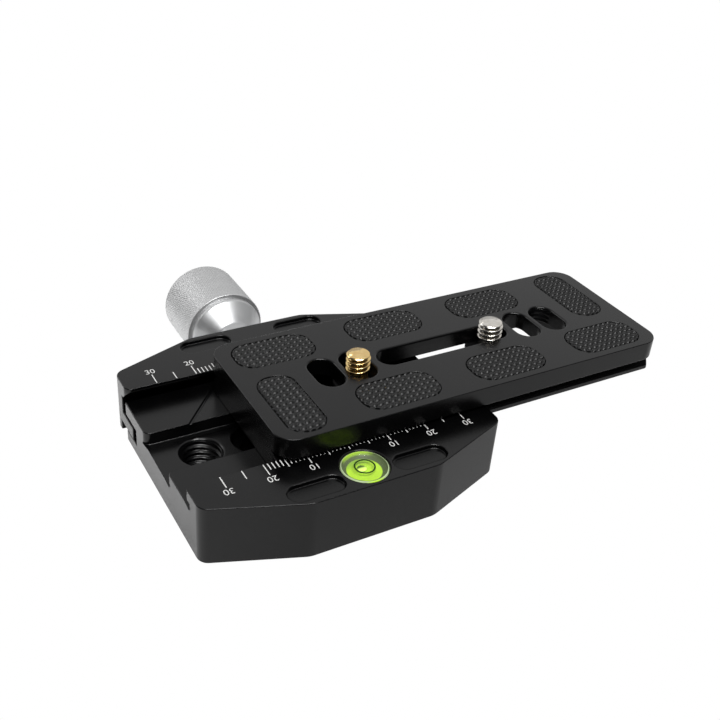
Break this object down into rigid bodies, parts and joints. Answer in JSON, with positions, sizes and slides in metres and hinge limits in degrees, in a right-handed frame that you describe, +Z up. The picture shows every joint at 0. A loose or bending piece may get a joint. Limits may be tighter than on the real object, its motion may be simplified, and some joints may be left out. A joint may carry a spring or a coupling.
{
  "type": "quick release clamp",
  "caption": "Screw-knob dovetail clamp with engraved scale and bubble level, holding a long slotted camera plate with rubber pads, slid part way out.",
  "frame": {"origin": "on the clamp's base plane, under the middle of the row of floor holes and the zero of the scale", "axes": "+X along the dovetail, towards the plate's free end; +Y across it, towards the knob; +Z up"},
  "size_m": [0.1298, 0.1028, 0.0296],
  "materials": {
    "black_anodised": "fine bead-blasted black anodising",
    "silver_anodised": "turned and knurled, clear anodised",
    "steel": "plain steel",
    "clear_acrylic": "clear moulded",
    "level_fluid": "yellow-green fluid",
    "level_air": "air bubble",
    "pad_rubber": "matt, moulded with small studs",
    "brass": "bright turned",
    "nickel_steel": "bright nickel plate",
    "black_nylon": "matt"
  },
  "bodies": {
    "clamp": {"clamp_body": "black_anodised", "guide_pin_left": "steel", "guide_pin_right": "steel", "spring_left": "steel", "spring_right": "steel", "level_vial": "clear_acrylic", "level_liquid": "level_fluid", "level_bubble": "level_air"},
    "jaw": {"movable_jaw": "black_anodised"},
    "knob_and_screw": {"knob": "silver_anodised", "clamp_screw": "steel"},
    "plate": {"quick_release_plate": "black_anodised", "pad_1": "pad_rubber", "pad_2": "pad_rubber", "pad_3": "pad_rubber", "pad_4": "pad_rubber", "pad_5": "pad_rubber", "pad_6": "pad_rubber", "pad_7": "pad_rubber", "pad_8": "pad_rubber"},
    "brass_carrier": {"brass_screw_washer": "black_nylon"},
    "brass_stud": {"brass_screw": "brass"},
    "steel_carrier": {"steel_screw_washer": "black_nylon"},
    "steel_stud": {"steel_screw": "nickel_steel"}
  },
  "joints": [
    {"name": "jaw_slide", "type": "slide", "parent": "clamp", "child": "jaw", "axis": [0, -1, 0], "range_m": [0, 0.00225], "deforming": ["spring_left", "spring_right"]},
    {"name": "knob_turn", "type": "hinge", "parent": "jaw", "child": "knob_and_screw", "pos_m": [0, 0.03625, 0.006], "axis": [0, -1, 0], "range_deg": [0, 810]},
    {"name": "plate_slide", "type": "slide", "parent": "clamp", "child": "plate", "axis": [1, 0, 0], "range_m": [-0.1096, 0.0344]},
    {"name": "brass_screw_slide", "type": "slide", "parent": "plate", "child": "brass_carrier", "axis": [0, 1, 0], "range_m": [-0.0026, 0.0026]},
    {"name": "brass_screw_turn", "type": "hinge", "parent": "brass_carrier", "child": "brass_stud", "pos_m": [0.0131, 0, 0.02138], "axis": [0, 0, 1], "continuous": true},
    {"name": "steel_screw_slide", "type": "slide", "parent": "plate", "child": "steel_carrier", "axis": [1, 0, 0], "range_m": [-0.0267, 0.0011]},
    {"name": "steel_screw_turn", "type": "hinge", "parent": "steel_carrier", "child": "steel_stud", "pos_m": [0.0519, 0, 0.02138], "axis": [0, 0, 1], "continuous": true}
  ],
  "couplings": [
    {"joint": "knob_turn", "follows": "jaw_slide", "rad_per_m": 6283.2}
  ]
}
